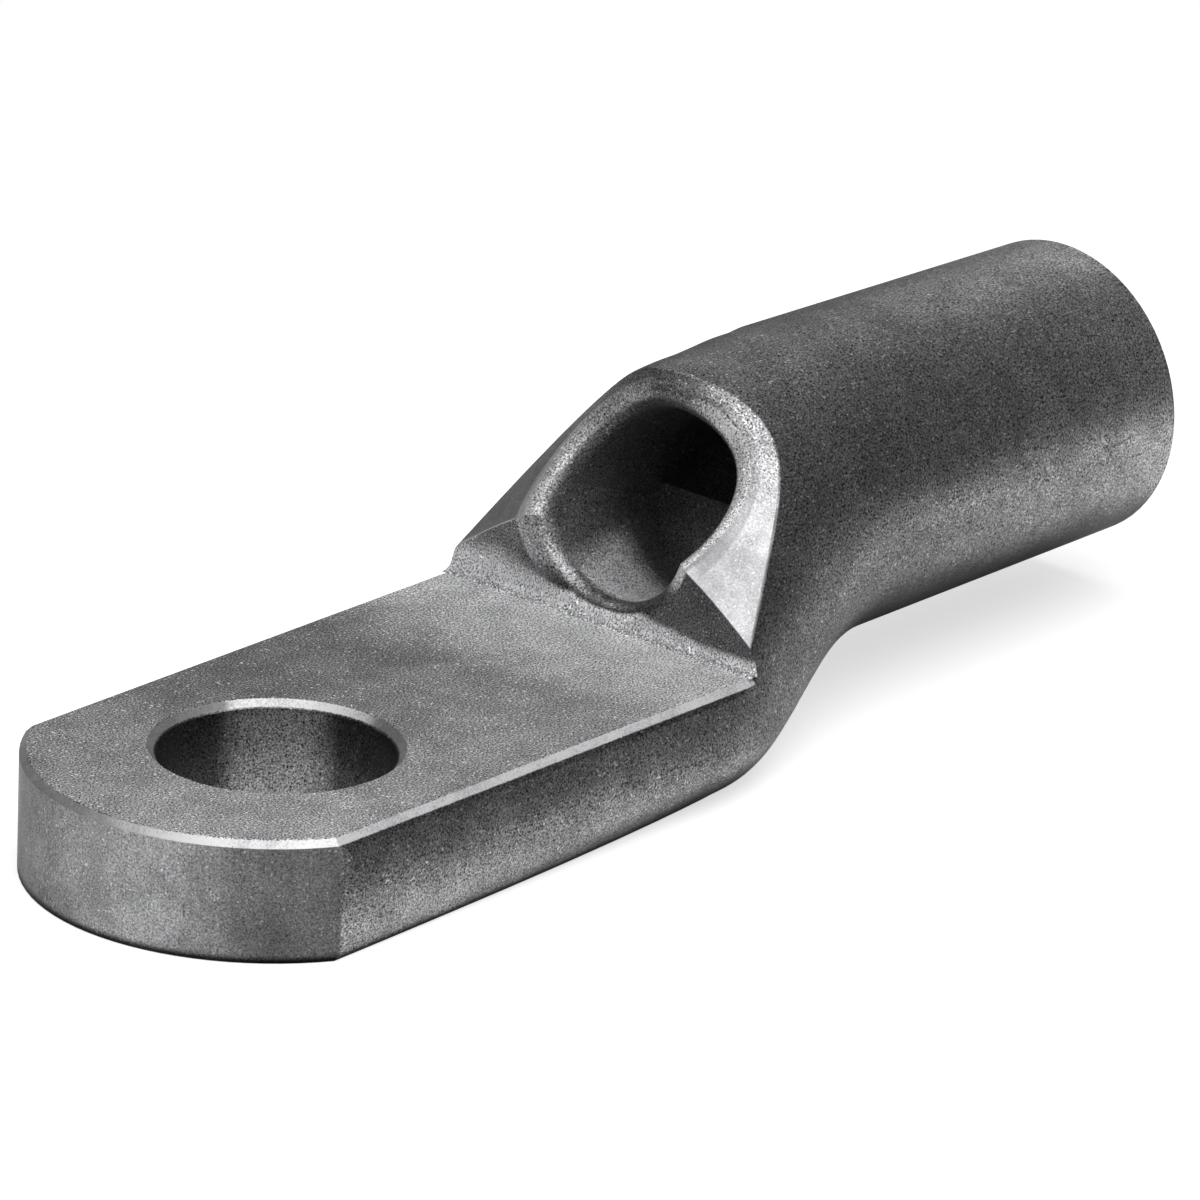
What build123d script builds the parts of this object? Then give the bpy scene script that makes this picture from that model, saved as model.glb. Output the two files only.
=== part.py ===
from build123d import *
import math
import os

# Compression lug for a stranded power cable, one pressed, milled and bored piece of metal.
# The origin is the bolt hole's centre on the underside of the palm, which seats on Z = 0.
# +X runs along the barrel towards its open end and +Z is up.

# Palm, the flat tongue that is bolted down
palm_width = 31.5
palm_thickness = 9.0
palm_end = 18.3
palm_end_radius = 17.2
palm_crown = 13.8
palm_edge_chamfer = 0.5
bolt_hole_diameter = 17.0
bolt_hole_chamfer = 0.6
underside_depth_at_end = 16.0
underside_depth_at_shoulder = 7.8

# Barrel, the round sleeve that is crimped on the cable, a little thicker at its root
barrel_reach = 85.2
barrel_end_diameter = 22.2
barrel_root_diameter = 23.2
barrel_underside = 3.0
barrel_end_chamfer = 0.7
bore_diameter = 14.6
bore_mouth_chamfer = 1.0

# Shoulder, where the pressed palm swells into the barrel behind a milled wall
milled_wall = 34.0
milled_corner_radius = 0.7
shoulder_lead = 3.0
top_rise_lead = 10.0
top_rise_length = 20.6
narrowing_lead = 5.2
narrowing_length = 22.0
underside_rise_length = 21.0

# Sloping nose of the shoulder, a cone about a vertical axis behind the milled wall
nose_setback = 14.2
nose_height = 23.4
nose_angle = 47.0
nose_crest_radius = 0.4

# Inspection opening, a passage that climbs out of the bore through the nose
passage_diameter = 14.0
passage_climb = 16.0
opening_sill = 1.9
opening_lip_radius = 1.3

# Number of sections that the shoulder's loft takes, and the cutters' reach past the metal
shoulder_sections = 9
overcut = 10.0

# Places that follow from the sizes above
palm_middle = palm_thickness / 2
palm_end_centre = palm_end_radius - palm_end
bore_axis = barrel_underside + barrel_end_diameter / 2
shoulder_start = milled_wall - shoulder_lead
shoulder_end = milled_wall + max(
    top_rise_length - top_rise_lead,
    narrowing_length - narrowing_lead,
    underside_rise_length,
)
climb = math.radians(passage_climb)
opening_level = palm_thickness + opening_sill + passage_diameter / 2 / math.cos(climb)
bore_end = milled_wall + (opening_level - bore_axis) / math.tan(climb)


def smooth_step(part):
    """Share from 0 to 1 that starts and ends level."""
    part = min(max(part, 0.0), 1.0)
    return part * part * (3.0 - 2.0 * part)


def blend(start, end, share):
    """Value that lies the given share of the way from start to end."""
    return start + (end - start) * share


def oval(x, half_width, widest, depth, crown):
    """Cross-section at x: four quarter ellipses that meet at the widest level."""
    plane = Plane(origin=(x, 0, widest), x_dir=(0, 1, 0), z_dir=(1, 0, 0))
    heights = [crown, crown, depth, depth]
    quarters = [
        EllipticalCenterArc((0, 0), half_width, height, start_angle=90 * i, arc_size=90)
        for i, height in enumerate(heights)
    ]
    return plane * make_face(quarters)


def shoulder_section(x):
    """Section of the shoulder, on the way from the pressed palm to the round barrel."""
    past_wall = x - milled_wall
    top_share = smooth_step((past_wall + top_rise_lead) / top_rise_length)
    narrow_share = smooth_step((past_wall + narrowing_lead) / narrowing_length)
    rise_share = smooth_step(past_wall / underside_rise_length)
    root_radius = barrel_root_diameter / 2
    root_axis = barrel_underside + root_radius
    top = blend(palm_middle + palm_crown, root_axis + root_radius, top_share)
    half_width = blend(palm_width / 2, root_radius, narrow_share)
    widest = blend(palm_middle, root_axis, rise_share)
    depth = blend(underside_depth_at_shoulder, root_radius, rise_share)
    return oval(x, half_width, widest, depth, top - widest)


def pressed_blank():
    """Blank before milling: a wide oval palm that swells into the round barrel."""
    outer_end = -palm_end - overcut
    palm_start = oval(outer_end, palm_width / 2, palm_middle, underside_depth_at_end, palm_crown)
    palm = loft([palm_start, shoulder_section(shoulder_start)], ruled=True)
    step = (shoulder_end - shoulder_start) / (shoulder_sections - 1)
    shoulder = loft([shoulder_section(shoulder_start + step * i) for i in range(shoulder_sections)])
    radius = barrel_end_diameter / 2
    barrel_end = oval(barrel_reach, radius, bore_axis, radius, radius)
    barrel = loft([shoulder_section(shoulder_end), barrel_end], ruled=True)
    return palm + shoulder + barrel


def plan_outline():
    """Outline of the lug seen from above, with the palm's wide round end."""
    rest = Rectangle(
        barrel_reach - palm_end_centre + overcut,
        palm_width + 2 * overcut,
        align=(Align.MIN, Align.CENTER),
    )
    return Pos(palm_end_centre, 0) * (Circle(palm_end_radius) + rest)


def palm_cutter(height):
    """Metal milled away above the palm, up to the wall of the shoulder."""
    block = Pos(milled_wall, 0, palm_thickness) * Box(
        milled_wall + palm_end + overcut,
        palm_width + 2 * overcut,
        height,
        align=(Align.MAX, Align.CENTER, Align.MIN),
    )
    foot = block.edges().filter_by(Axis.Y).group_by(Axis.X)[-1].sort_by(Axis.Z)[0]
    return fillet(foot, milled_corner_radius)


def palm_edge_cutter():
    """Wedge that chamfers the palm's straight edge on the +Y side, as far as the wall."""
    rise = (palm_thickness - palm_middle) / palm_crown
    edge = palm_width / 2 * math.sqrt(1 - rise * rise)
    corners = [
        (edge - palm_edge_chamfer, palm_thickness),
        (edge + overcut, palm_thickness),
        (edge + overcut, palm_thickness - palm_edge_chamfer - overcut),
    ]
    profile = Plane.YZ * make_face(Polyline(corners, close=True))
    return Pos(-palm_end, 0, 0) * extrude(profile, palm_end + milled_wall)


def nose_cutter(height):
    """Metal turned away outside the nose's cone, in front of the cone's axis."""
    reach = nose_height / math.tan(math.radians(nose_angle))
    profile = Polyline([(0, nose_height), (reach, 0), (reach, height), (0, height)], close=True)
    ring = revolve(Plane.XZ * make_face(profile), Axis.Z, 360)
    front = Box(reach, 2 * reach, height, align=(Align.MAX, Align.CENTER, Align.MIN))
    return Pos(milled_wall + nose_setback, 0, palm_thickness) * (ring & front)


def passage_cutter():
    """The inspection opening's passage, from the bore's inner end up through the nose."""
    passage = Cylinder(
        passage_diameter / 2,
        bore_end - milled_wall + passage_diameter + overcut,
        align=(Align.CENTER, Align.CENTER, Align.MIN),
    )
    return Pos(bore_end, 0, bore_axis) * Rot(0, passage_climb - 90, 0) * passage


def machined_form():
    """All that the cutters leave: plan outline, palm, nose and the opening's round lip."""
    height = barrel_root_diameter + nose_height
    form = extrude(plan_outline(), height) - palm_cutter(height)
    end_rim = form.edges().filter_by(GeomType.CIRCLE).group_by(Axis.X)[0].sort_by(Axis.Z)[-1]
    form = chamfer(end_rim, palm_edge_chamfer) - nose_cutter(height) - passage_cutter()
    mouth_middle = Vector(milled_wall, 0, opening_level)
    passage_wall = form.faces().filter_by(GeomType.CYLINDER).sort_by_distance(mouth_middle)[0]
    rim = passage_wall.edges().filter_by(GeomType.LINE, reverse=True)
    rim = rim.filter_by(GeomType.CIRCLE, reverse=True).sort_by(Axis.Y)
    return fillet(rim, opening_lip_radius)


def shaped_lug():
    """The pressed blank after machining, with the palm's rim and the nose's crest eased."""
    form = machined_form()
    edge_cutter = palm_edge_cutter()
    body = pressed_blank() & form
    body = body - edge_cutter - mirror(edge_cutter, Plane.XZ)
    nose = body.faces().filter_by(GeomType.CONE).sort_by(SortBy.AREA)[-1]
    crest = nose.edges().filter_by(GeomType.BSPLINE) - form.edges()
    crest = crest.sort_by(Axis.Y)
    return fillet(crest, nose_crest_radius)


def with_bore(body):
    """Body with the cable's bore, chamfered at its mouth and outside the barrel's end."""
    bore = Cylinder(
        bore_diameter / 2,
        barrel_reach - bore_end,
        align=(Align.CENTER, Align.CENTER, Align.MIN),
    )
    body = body - Pos(barrel_reach, 0, bore_axis) * Rot(0, -90, 0) * bore
    end = body.faces().sort_by(Axis.X)[-1]
    body = chamfer(end.outer_wire().edges(), barrel_end_chamfer)
    mouth = body.faces().sort_by(Axis.X)[-1].inner_wires()[0]
    return chamfer(mouth.edges(), bore_mouth_chamfer)


def with_bolt_hole(body):
    """Body with the bolt hole, chamfered at the palm's upper face."""
    body = body - Cylinder(bolt_hole_diameter / 2, 4 * palm_thickness)
    palm_top = body.faces().filter_by(Axis.Z).sort_by(Axis.Z)[-1]
    return chamfer(palm_top.inner_wires()[0].edges(), bolt_hole_chamfer)


lug_body = with_bolt_hole(with_bore(shaped_lug()))

os.makedirs("parts", exist_ok=True)
export_step(lug_body, "parts/lug_body.step")
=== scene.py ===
import math
import bpy
from mathutils import Matrix, Vector

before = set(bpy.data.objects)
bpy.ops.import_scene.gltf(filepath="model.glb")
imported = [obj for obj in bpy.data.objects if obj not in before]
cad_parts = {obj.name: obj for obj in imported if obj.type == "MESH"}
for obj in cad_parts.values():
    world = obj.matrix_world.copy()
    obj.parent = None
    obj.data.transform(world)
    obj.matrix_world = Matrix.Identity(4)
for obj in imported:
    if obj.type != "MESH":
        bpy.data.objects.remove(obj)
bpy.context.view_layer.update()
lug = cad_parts["lug_body"]


# Lug: one piece of thick metal tube. Its palm is pressed flat, its nose is turned to a
# cone and its opening drilled. The pressed skin is dull and stained, and the machined
# faces are brighter, with a fine grain all over.
def put(tree, kind, inputs=None, **settings):
    """New shader node, its inputs set to values or linked to sockets."""
    node = tree.nodes.new(kind)
    for name, value in settings.items():
        setattr(node, name, value)
    for key, value in (inputs or {}).items():
        if isinstance(value, bpy.types.NodeSocket):
            tree.links.new(value, node.inputs[key])
        else:
            node.inputs[key].default_value = value
    return node


def calc(tree, operation, *values):
    """Result of a math operation on one or two values, or on more of them in turn."""
    inputs = dict(enumerate(values[:2]))
    result = put(tree, "ShaderNodeMath", inputs, operation=operation).outputs[0]
    for value in values[2:]:
        result = calc(tree, operation, result, value)
    return result


def product(tree, *values):
    """Masks or values multiplied together."""
    return calc(tree, "MULTIPLY", *values)


def total(tree, *values):
    """Values added together."""
    return calc(tree, "ADD", *values)


def less(tree, value, taken):
    """Value with another one taken off."""
    return calc(tree, "SUBTRACT", value, taken)


def strongest(tree, *values):
    """Largest of the masks or values at each place."""
    return calc(tree, "MAXIMUM", *values)


def distance(tree, one, other):
    """Length of a vector with these two parts."""
    squares = total(tree, calc(tree, "POWER", one, 2.0), calc(tree, "POWER", other, 2.0))
    return calc(tree, "SQRT", squares)


def fade(tree, value, start, end, low=0.0, high=1.0):
    """Soft step from low to high while value goes from start to end."""
    inputs = {"Value": value, "From Min": start, "From Max": end, "To Min": low, "To Max": high}
    return put(tree, "ShaderNodeMapRange", inputs, interpolation_type="SMOOTHSTEP").outputs[0]


def below(tree, value, start, end):
    """Mask that is full until value reaches start and gone from end onwards."""
    return fade(tree, value, start, end, 1.0, 0.0)


def mix(tree, share, start, end):
    """Value that lies the given share of the way from start to end."""
    return put(tree, "ShaderNodeMix", {0: share, 2: start, 3: end}, data_type="FLOAT").outputs[0]


def new_group(name, inputs, outputs):
    """Empty shader group with float outputs and the given named inputs."""
    group = bpy.data.node_groups.new(name, "ShaderNodeTree")
    for label, kind, value in inputs:
        socket = group.interface.new_socket(label, in_out="INPUT", socket_type=kind)
        if value is not None:
            socket.default_value = value
    for label in outputs:
        group.interface.new_socket(label, in_out="OUTPUT", socket_type="NodeSocketFloat")
    return group, group.nodes.new("NodeGroupInput"), group.nodes.new("NodeGroupOutput")


# Sizes that the cutters worked to, in millimetres
palm_level = 9.0
rim_depth = 0.55
hole_radius = 8.5
hole_chamfer = 0.6
end_centre = -1.1
end_radius = 17.2
end_corner = -9.3
wall_at = 34.0
cone_axis = wall_at + 14.2
cone_top = palm_level + 23.4
cone_slope = math.tan(math.radians(47))
passage_radius = 7.0
passage_climb = math.radians(16)
sill_level = palm_level + 1.9
opening_level = sill_level + passage_radius / math.cos(passage_climb)
bore_radius = 7.3
bore_axis = 14.1

# Where the cutters went, from the place on the lug in millimetres
machined, given, result = new_group(
    "machined_faces",
    [("Place", "NodeSocketVector", None)],
    ["End", "Palm", "Foot", "Rim", "Nose", "Lip", "Inside", "Hole"],
)
x, y, z = put(machined, "ShaderNodeSeparateXYZ", {0: given.outputs["Place"]}).outputs
past_wall = less(machined, x, wall_at)
before_wall = below(machined, past_wall, -0.35, -0.1)

# The palm's flat top, and the chamfered rims round it and round the bolt hole
palm = product(machined, fade(machined, z, palm_level - 0.07, palm_level - 0.03), before_wall)
rim_foot = palm_level - rim_depth
above_rim_foot = fade(machined, z, rim_foot, rim_foot + 0.08)
rim = less(machined, product(machined, above_rim_foot, before_wall), palm)

# The foot of the milled wall, with painted light up to an uneven line that softens on the far side
foot_waves = 0.9
uneven = put(machined, "ShaderNodeTexNoise", {"Vector": given.outputs["Place"], "Scale": 0.35})
foot_painted_light_top = total(
    machined,
    fade(machined, y, -11.0, -4.0, 9.5, 10.2),
    product(machined, uneven.outputs["Fac"], foot_waves),
)
foot_softness = fade(machined, y, 4.0, 9.0, 0.25, 1.9)
foot = product(
    machined,
    below(machined, less(machined, z, foot_painted_light_top), -0.35, foot_softness),
    fade(machined, z, palm_level - 0.1, palm_level),
    fade(machined, past_wall, -0.8, -0.4),
    below(machined, past_wall, 0.1, 0.3),
)

# The bolt hole's wall below its chamfer, and the turned end of the palm
from_hole = distance(machined, x, y)
hole_wall_top = palm_level - hole_chamfer
hole = product(
    machined,
    below(machined, from_hole, hole_radius + 0.05, hole_radius + 0.1),
    below(machined, z, hole_wall_top - 0.1, hole_wall_top),
)
from_end_centre = distance(machined, less(machined, x, end_centre), y)
end = product(
    machined,
    fade(machined, from_end_centre, end_radius - 0.2, end_radius - 0.05),
    below(machined, x, end_corner - 0.3, end_corner),
)

# The turned nose, as far as its rounded crest
from_cone_axis = distance(machined, less(machined, x, cone_axis), y)
cone_height = total(machined, z, product(machined, from_cone_axis, cone_slope))
before_crest = below(machined, x, 43.5, 44.5)
nose = product(
    machined,
    fade(machined, less(machined, cone_height, cone_top), -0.14, -0.04),
    fade(machined, z, palm_level + 0.8, palm_level + 1.4),
    before_crest,
)

# The opening's round lip, a band round the passage on the wall and on the cone
over_mouth = less(machined, z, opening_level)
across = total(
    machined,
    product(machined, past_wall, math.sin(passage_climb)),
    product(machined, over_mouth, math.cos(passage_climb)),
)
from_passage = distance(machined, across, y)
wall_lip = fade(machined, y, 0.0, 3.0, passage_radius + 1.5, passage_radius + 2.2)
cone_lip = fade(machined, y, -2.0, 2.0, passage_radius + 2.5, passage_radius + 1.9)
lip_softness = 0.2
on_wall = below(machined, less(machined, from_passage, wall_lip), -lip_softness, 0.0)
on_cone = product(
    machined,
    below(machined, less(machined, from_passage, cone_lip), -lip_softness, 0.0),
    fade(machined, past_wall, 0.4, 0.8),
)
lip_foot = fade(machined, y, -2.0, 3.0, 13.6, 11.6)
lip = product(
    machined,
    strongest(machined, on_wall, on_cone),
    fade(machined, less(machined, z, lip_foot), -0.9, 0.9),
    fade(machined, past_wall, -0.3, -0.1),
    before_crest,
)

# The inside, painted dark as shade, along the climbing passage and then along the bore
in_passage = product(
    machined,
    below(machined, from_passage, passage_radius + 0.4, passage_radius + 0.8),
    fade(machined, past_wall, 0.6, 2.5),
    below(machined, past_wall, 15.0, 16.0),
)
from_bore_axis = distance(machined, less(machined, z, bore_axis), y)
in_bore = product(
    machined,
    below(machined, from_bore_axis, bore_radius + 0.2, bore_radius + 0.4),
    fade(machined, past_wall, 8.0, 9.0),
)
inside = strongest(machined, in_passage, in_bore)
for socket, mask in zip(result.inputs, [end, palm, foot, rim, nose, lip, inside, hole]):
    machined.links.new(mask, socket)

# Grain of a blasted surface, fine and without direction, with a few bright specks
grain, given, result = new_group(
    "blasted_grain",
    [("Place", "NodeSocketVector", None), ("Contrast", "NodeSocketFloat", 0.3)],
    ["Tone", "Height"],
)
grain_depth = 4.0
speck_gain = 1.5
fine = put(
    grain,
    "ShaderNodeTexNoise",
    {"Vector": given.outputs["Place"], "Scale": 7.0, "Detail": 2.0, "Roughness": 0.7},
)
specks = put(
    grain, "ShaderNodeTexNoise", {"Vector": given.outputs["Place"], "Scale": 4.3, "Detail": 1.0}
)
swing = total(
    grain,
    product(grain, less(grain, fine.outputs["Fac"], 0.5), grain_depth),
    fade(grain, specks.outputs["Fac"], 0.66, 0.74, 0.0, speck_gain),
)
swing = product(grain, swing, given.outputs["Contrast"])
grain.links.new(total(grain, swing, 1.0), result.inputs["Tone"])
grain.links.new(fine.outputs["Fac"], result.inputs["Height"])

# Stains of handling and oil, in soft patches of a few millimetres
stains, given, result = new_group(
    "handling_stains",
    [("Place", "NodeSocketVector", None), ("Depth", "NodeSocketFloat", 0.3)],
    ["Tone"],
)
patches = put(
    stains,
    "ShaderNodeTexNoise",
    {"Vector": given.outputs["Place"], "Scale": 0.26, "Detail": 5.0, "Roughness": 0.66},
)
worn = fade(stains, patches.outputs["Fac"], 0.32, 0.68, -1.0, 1.0)
worn = product(stains, worn, given.outputs["Depth"])
stains.links.new(total(stains, worn, 1.0), result.inputs["Tone"])

# The lug's metal, with its place on the lug turned into millimetres
metal = bpy.data.materials.new("lug_metal_worn")
metal.use_nodes = True
tree = metal.node_tree
principled = tree.nodes["Principled BSDF"]
coordinates = tree.nodes.new("ShaderNodeTexCoord")
to_millimetres = {0: coordinates.outputs["Object"], "Scale": 1000.0}
place = put(tree, "ShaderNodeVectorMath", to_millimetres, operation="SCALE").outputs[0]
along, aside, height = put(tree, "ShaderNodeSeparateXYZ", {0: place}).outputs
facing_up = put(tree, "ShaderNodeSeparateXYZ", {0: coordinates.outputs["Normal"]}).outputs[2]
where = put(tree, "ShaderNodeGroup", node_tree=machined)
speckle = put(tree, "ShaderNodeGroup", node_tree=grain)
marks = put(tree, "ShaderNodeGroup", node_tree=stains)
for group in (where, speckle, marks):
    tree.links.new(place, group.inputs["Place"])

# Contrast of the grain: stronger on the palm, and weaker on the turned end, the rims and the
# lower part of the nose
skin_grain = 1.5
palm_grain_gain = 0.5
end_grain_loss = 0.65
smooth_grain_loss = 1.15
low_nose = product(tree, where.outputs["Nose"], below(tree, height, 17.0, 24.0))
smooth_face = strongest(tree, low_nose, where.outputs["Rim"])
grain_contrast = total(tree, skin_grain, product(tree, where.outputs["Palm"], palm_grain_gain))
grain_contrast = less(tree, grain_contrast, product(tree, where.outputs["End"], end_grain_loss))
grain_contrast = less(tree, grain_contrast, product(tree, smooth_face, smooth_grain_loss))
tree.links.new(grain_contrast, speckle.inputs["Contrast"])
stain_depth = 0.19
marks.inputs["Depth"].default_value = stain_depth

# Tone of the pressed skin: painted shade along the palm's upper edges and underneath,
# painted light on the lower flanks, and paler towards the barrel's end
side_foot_painted_light_tone = 0.47
side_top_painted_shade_tone = 0.145
barrel_root_tone = 0.28
barrel_middle_tone = 0.37
barrel_end_gain = 0.15
# Painted shade on faces turned down, and painted light on the flanks that turn slightly down
underside_painted_shade_share = 0.05
flank_painted_light_share = 1.16
side_painted_shading_tone = fade(tree, height, 1.0, 7.0, side_foot_painted_light_tone, side_top_painted_shade_tone)
barrel_tone = total(
    tree,
    fade(tree, along, 58.0, 72.0, barrel_root_tone, barrel_middle_tone),
    fade(tree, along, 72.0, 85.0, 0.0, barrel_end_gain),
)
past_palm = fade(tree, along, 30.0, 44.0)
skin_tone_and_painted_shading = product(
    tree,
    mix(tree, past_palm, side_painted_shading_tone, barrel_tone),
    fade(tree, facing_up, -0.78, -0.30, underside_painted_shade_share, 1.0),
    fade(tree, facing_up, -0.10, 0.35, flank_painted_light_share, 1.0),
)

# Tone of the palm: paler on the near side and at its tip, and painted light towards the wall
palm_near_tone = 0.41
palm_far_tone = 0.24
palm_tip_gain = 0.12
palm_wall_painted_light_gain = 0.50
palm_tone_with_painted_light = total(
    tree,
    fade(tree, aside, -12.0, 13.0, palm_near_tone, palm_far_tone),
    fade(tree, along, -8.0, 6.0, palm_tip_gain, 0.0),
    fade(tree, along, 18.0, 32.0, 0.0, palm_wall_painted_light_gain),
)
# Painted light climbing the wall's foot, weaker on the cove below it
foot_level_painted_light_tone = 0.50
foot_wall_painted_light_tone = 0.90
foot_painted_light_tone = fade(tree, along, wall_at - 0.3, wall_at, foot_level_painted_light_tone, foot_wall_painted_light_tone)

# Tone of the turned end: palest in its middle, with painted shade towards both corners
end_near_painted_shade_tone = 0.21
end_middle_tone = 0.52
end_far_painted_shade_share = 0.58
end_tone_with_painted_shade = product(
    tree,
    fade(tree, aside, -13.0, -4.0, end_near_painted_shade_tone, end_middle_tone),
    fade(tree, aside, -3.0, 9.0, 1.0, end_far_painted_shade_share),
)


def reach(toward_x, toward_y):
    """How far the place lies from the bolt hole's centre in one direction on the palm."""
    return total(tree, product(tree, along, toward_x), product(tree, aside, toward_y))


# Tone of the bolt hole: painted shade on its wall, a painted reflection in a pale band down
# its back wall, and a painted highlight in a bright arc on its rim
hole_wall_painted_shade_tone = 0.10
hole_band_painted_reflection_tone = 0.54
painted_highlight_rim_tone = 0.95
hole_rim_dull_tone = 0.34
highlight_arc_end_share = 0.35
towards_back = reach(0.74, 0.67)
towards_side = reach(0.68, -0.73)
hole_painted_light_and_shade_tone = fade(tree, towards_back, 7.2, 8.45, hole_wall_painted_shade_tone, hole_band_painted_reflection_tone)
painted_highlight_arc = product(
    tree,
    fade(tree, towards_back, 3.0, 6.0),
    fade(tree, towards_side, -4.6, -2.4),
    fade(tree, towards_side, 5.5, 7.5, 1.0, highlight_arc_end_share),
)
hole_rim_tone_with_painted_highlight = strongest(tree, product(tree, painted_highlight_arc, painted_highlight_rim_tone), hole_rim_dull_tone)

# Tone of the palm's rims: bright along the straight edges, with a painted highlight on the
# near side of the end
end_rim_far_tone = 0.42
straight_rim_tone = 0.80
past_end = fade(tree, along, -9.0, -7.5)
outer_rim_tone_with_painted_highlight = strongest(
    tree,
    fade(tree, aside, -8.0, 4.0, painted_highlight_rim_tone, end_rim_far_tone),
    product(tree, past_end, straight_rim_tone),
)
around_hole = hole_radius + 0.9
at_hole = product(
    tree,
    below(tree, calc(tree, "ABSOLUTE", along), around_hole, around_hole + 0.2),
    below(tree, calc(tree, "ABSOLUTE", aside), around_hole, around_hole + 0.2),
)
rim_tone = mix(tree, at_hole, outer_rim_tone_with_painted_highlight, hole_rim_tone_with_painted_highlight)

# Tone of the nose, paler low down and on its far side, and of the lip, with painted light on its
# near side
nose_low_tone = 0.44
nose_crest_tone = 0.26
nose_far_share = 1.3
nose_tone = product(
    tree,
    fade(tree, height, 20.0, 26.0, nose_low_tone, nose_crest_tone),
    fade(tree, aside, 4.0, 8.0, 1.0, nose_far_share),
)
lip_near_painted_light_tone = 0.95
lip_middle_tone = 0.22
lip_far_tone = 0.50
lip_tone_with_painted_light = strongest(
    tree,
    fade(tree, aside, -4.5, -0.5, lip_near_painted_light_tone, lip_middle_tone),
    fade(tree, aside, 1.0, 3.0, 0.0, lip_far_tone),
)

# Tone of the inside: painted shade, with painted light on the floor behind the sill, and less
# painted shade towards the mouth at the barrel's end
passage_painted_shade_tone = 0.20
bore_painted_shade_tone = 0.11
mouth_painted_shade_tone = 0.33
floor_painted_light_gain = 0.62
painted_lit_floor = product(
    tree,
    fade(tree, height, sill_level - 0.1, 13.0, floor_painted_light_gain, 0.0),
    below(tree, along, 41.0, 45.0),
)
inside_painted_shade_tone = strongest(
    tree,
    fade(tree, along, 38.0, 45.0, passage_painted_shade_tone, bore_painted_shade_tone),
    fade(tree, along, 60.0, 78.0, 0.0, mouth_painted_shade_tone),
)
inside_painted_shade_tone = total(tree, inside_painted_shade_tone, painted_lit_floor)

# Each face's tone where its cutter went, and painted shade in a dark line along the lowest
# edge
tone = skin_tone_and_painted_shading
for face, face_tone in (
    ("End", end_tone_with_painted_shade),
    ("Hole", hole_painted_light_and_shade_tone),
    ("Palm", palm_tone_with_painted_light),
    ("Foot", foot_painted_light_tone),
    ("Rim", rim_tone),
    ("Lip", lip_tone_with_painted_light),
    ("Nose", nose_tone),
    ("Inside", inside_painted_shade_tone),
):
    tone = mix(tree, where.outputs[face], tone, face_tone)
lowest_painted_shade_share = 0.06
bottom_painted_shade = fade(tree, height, 0.12, 0.70, lowest_painted_shade_share, 1.0)
tone = product(tree, tone, bottom_painted_shade, speckle.outputs["Tone"], marks.outputs["Tone"])
blue_share = 1.02
colour = put(tree, "ShaderNodeCombineColor", {0: tone, 1: tone, 2: product(tree, tone, blue_share)})
tree.links.new(colour.outputs[0], principled.inputs["Base Color"])

# Milled faces are more matt than the skin, and the lip, the inside and the wall's foot are
# dusty
matt_loss = 0.3
dust_loss = 0.55
skin_roughness = 0.50
stain_gloss = 0.12
matt_roughness = 0.22
matt = strongest(tree, where.outputs["Rim"], where.outputs["Palm"], where.outputs["Foot"])
dusty = strongest(tree, where.outputs["Lip"], where.outputs["Inside"], where.outputs["Foot"])
bare = less(tree, 1.0, product(tree, matt, matt_loss))
bare = less(tree, bare, product(tree, dusty, dust_loss))
tree.links.new(bare, principled.inputs["Metallic"])
rough = less(tree, skin_roughness, product(tree, marks.outputs["Tone"], stain_gloss))
rough = total(tree, rough, product(tree, matt, matt_roughness))
tree.links.new(rough, principled.inputs["Roughness"])

# The top of the barrel's root is shaded as part of the round barrel, which eases the seam
# between the shoulder and the barrel, and the grain stands slightly proud
barrel_root_axis = 14.6
over_axis = less(tree, height, barrel_root_axis)
outwards = put(tree, "ShaderNodeCombineXYZ", {1: aside, 2: over_axis}).outputs[0]
outwards = put(tree, "ShaderNodeVectorMath", {0: outwards}, operation="NORMALIZE").outputs[0]
at_seam = product(
    tree,
    fade(tree, along, 47.0, 51.0),
    below(tree, along, 60.0, 70.0),
    fade(tree, height, 15.0, 19.0),
    fade(tree, distance(tree, over_axis, aside), 9.0, 10.0),
)
own_normal = tree.nodes.new("ShaderNodeNewGeometry").outputs["Normal"]
eased = put(
    tree, "ShaderNodeMix", {0: at_seam, 4: own_normal, 5: outwards}, data_type="VECTOR"
).outputs[1]
bump = put(
    tree,
    "ShaderNodeBump",
    {"Height": speckle.outputs["Height"], "Strength": 0.25, "Distance": 0.00003, "Normal": eased},
)
tree.links.new(bump.outputs[0], principled.inputs["Normal"])
for material_slot in lug.material_slots:
    material_slot.material = metal


# Floor: a round sheet of white paper just under the lug. The camera sees it as plain white
# with the lug's soft shadow, and the metal sees the same paper without the extra white.
paper_tone = 0.9
paper_roughness = 0.9
extra_white = 0.65
paper_radius = 0.12
lug_middle = 0.03
paper_gap = 0.00005
bpy.ops.mesh.primitive_circle_add(
    vertices=96, radius=paper_radius, fill_type="NGON", location=(lug_middle, 0, -paper_gap)
)
floor = bpy.context.object
floor.name = "floor"
paper = bpy.data.materials.new("white_paper")
paper.use_nodes = True
tree = paper.node_tree
sheet = tree.nodes["Principled BSDF"]
sheet.inputs["Base Color"].default_value = (paper_tone, paper_tone, paper_tone, 1)
sheet.inputs["Roughness"].default_value = paper_roughness
sheet.inputs["Specular IOR Level"].default_value = 0.0
sheet.inputs["Emission Color"].default_value = (1, 1, 1, 1)
camera_ray = tree.nodes.new("ShaderNodeLightPath").outputs["Is Camera Ray"]
tree.links.new(product(tree, camera_ray, extra_white), sheet.inputs["Emission Strength"])
floor.data.materials.append(paper)

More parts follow.
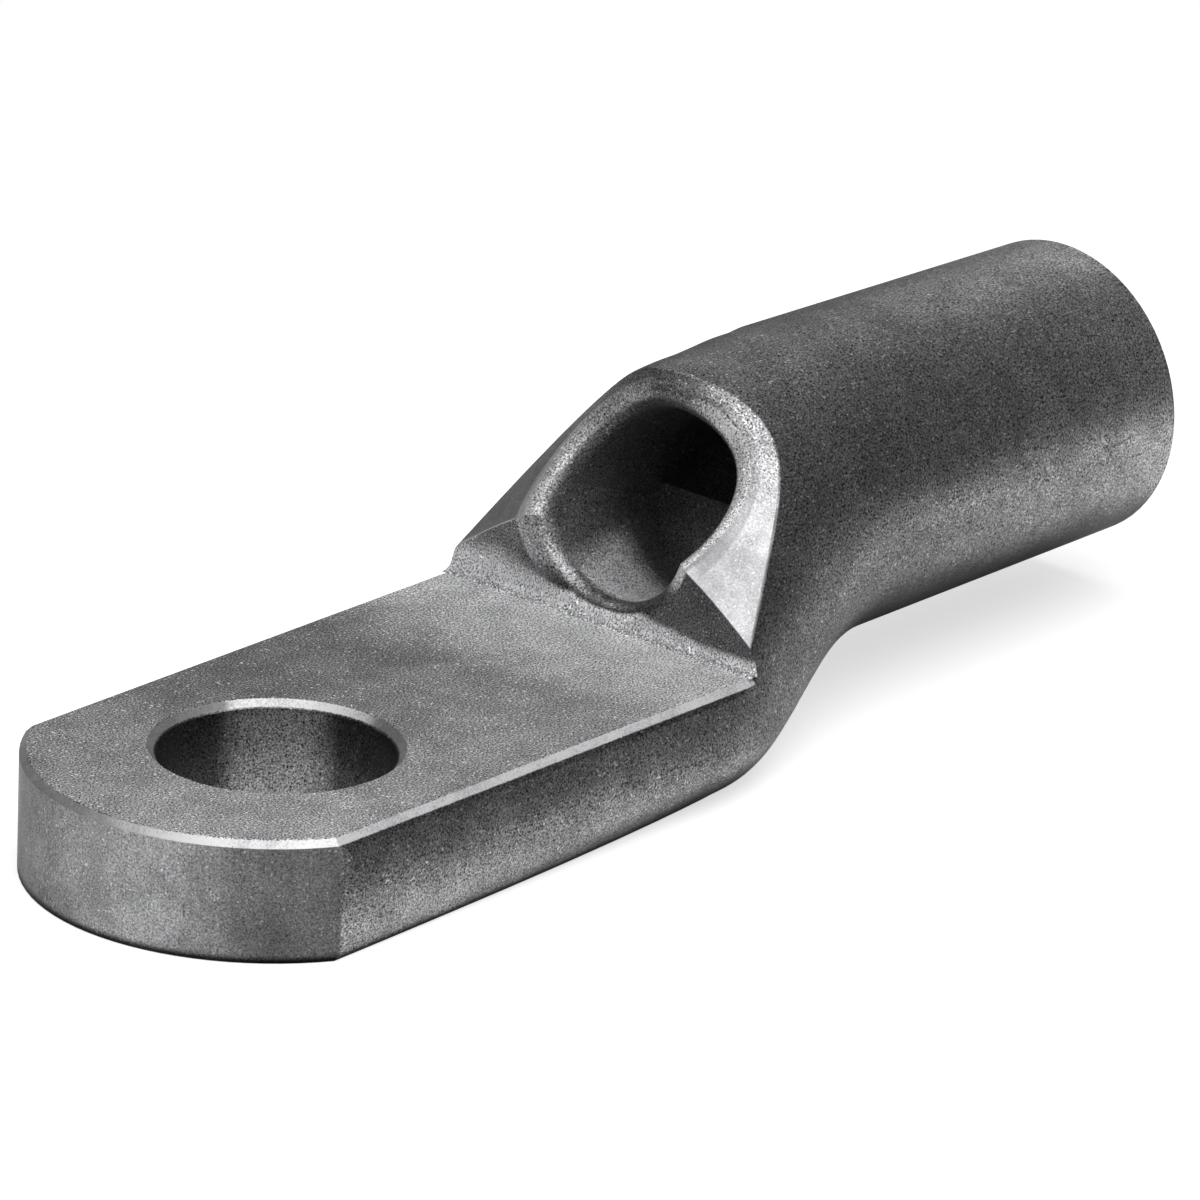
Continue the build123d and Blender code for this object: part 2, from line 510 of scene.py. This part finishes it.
# Surround: the studio round the lug, plain white wherever the camera sees it and dim for
# everything else, so that the metal keeps its dark tones.
studio_strength = 0.13
world = bpy.data.worlds.new("studio_room")
world.use_nodes = True
bpy.context.scene.world = world
tree = world.node_tree
background = tree.nodes["Background"]
background.inputs["Color"].default_value = (1, 1, 1, 1)
camera_ray = tree.nodes.new("ShaderNodeLightPath").outputs["Is Camera Ray"]
strength = fade(tree, camera_ray, 0.0, 1.0, studio_strength, 1.0)
tree.links.new(strength, background.inputs["Strength"])


# Lights: a large soft box over the lug, two dim ones behind it, of which the smaller
# brightens the top of the barrel, and one above its far side. Each faces the lug's middle.
lamp_target = Vector((lug_middle, 0, 0.01))


def soft_box(name, direction, away, wide, tall, radiance):
    """Rectangular lamp that faces the lug from the given direction."""
    light = bpy.data.lights.new(name, "AREA")
    light.shape = "RECTANGLE"
    light.size = wide
    light.size_y = tall
    light.energy = radiance * math.pi * wide * tall
    box = bpy.data.objects.new(name, light)
    outward = Vector(direction).normalized()
    box.location = lamp_target + away * outward
    box.rotation_euler = (-outward).to_track_quat("-Z", "Y").to_euler()
    bpy.context.scene.collection.objects.link(box)


soft_box("overhead_box", (-0.15, -0.30, 0.94), 0.45, 0.50, 0.50, 1.9)
soft_box("back_box", (0.686, 0.627, 0.45), 0.60, 0.55, 0.30, 0.34)
soft_box("barrel_box", (0.686, 0.217, 0.69), 0.60, 0.26, 0.26, 0.15)
soft_box("far_side_box", (0.05, 0.70, 0.85), 0.50, 0.30, 0.25, 0.8)


# Camera: a long lens nearly one metre away, looking down on the palm's corner. It is aimed
# at a point to the right of the bolt hole and above it.
azimuth = 0.740668
elevation = 0.379195
roll = 0.022895
camera_distance = 0.98073
aim_right = 0.022533
aim_up = 0.010131
hole_top = Vector((0, 0, palm_level / 1000))
towards = Vector((
    -math.cos(elevation) * math.cos(azimuth),
    -math.cos(elevation) * math.sin(azimuth),
    math.sin(elevation),
))
level = Vector((math.sin(azimuth), -math.cos(azimuth), 0))
upright = towards.cross(level)
right = math.cos(roll) * level + math.sin(roll) * upright
up = math.cos(roll) * upright - math.sin(roll) * level
aim = hole_top + aim_right * right + aim_up * up
stand = hole_top + camera_distance * towards
back = (stand - aim).normalized()
right = up.cross(back).normalized()
up = back.cross(right)
lens = bpy.data.cameras.new("camera")
lens.lens = 422
lens.sensor_width = 36
camera = bpy.data.objects.new("camera", lens)
camera.matrix_world = Matrix.Translation(stand) @ Matrix((right, up, back)).transposed().to_4x4()
bpy.context.scene.collection.objects.link(camera)
bpy.context.scene.camera = camera
bpy.context.scene.view_settings.view_transform = "Standard"
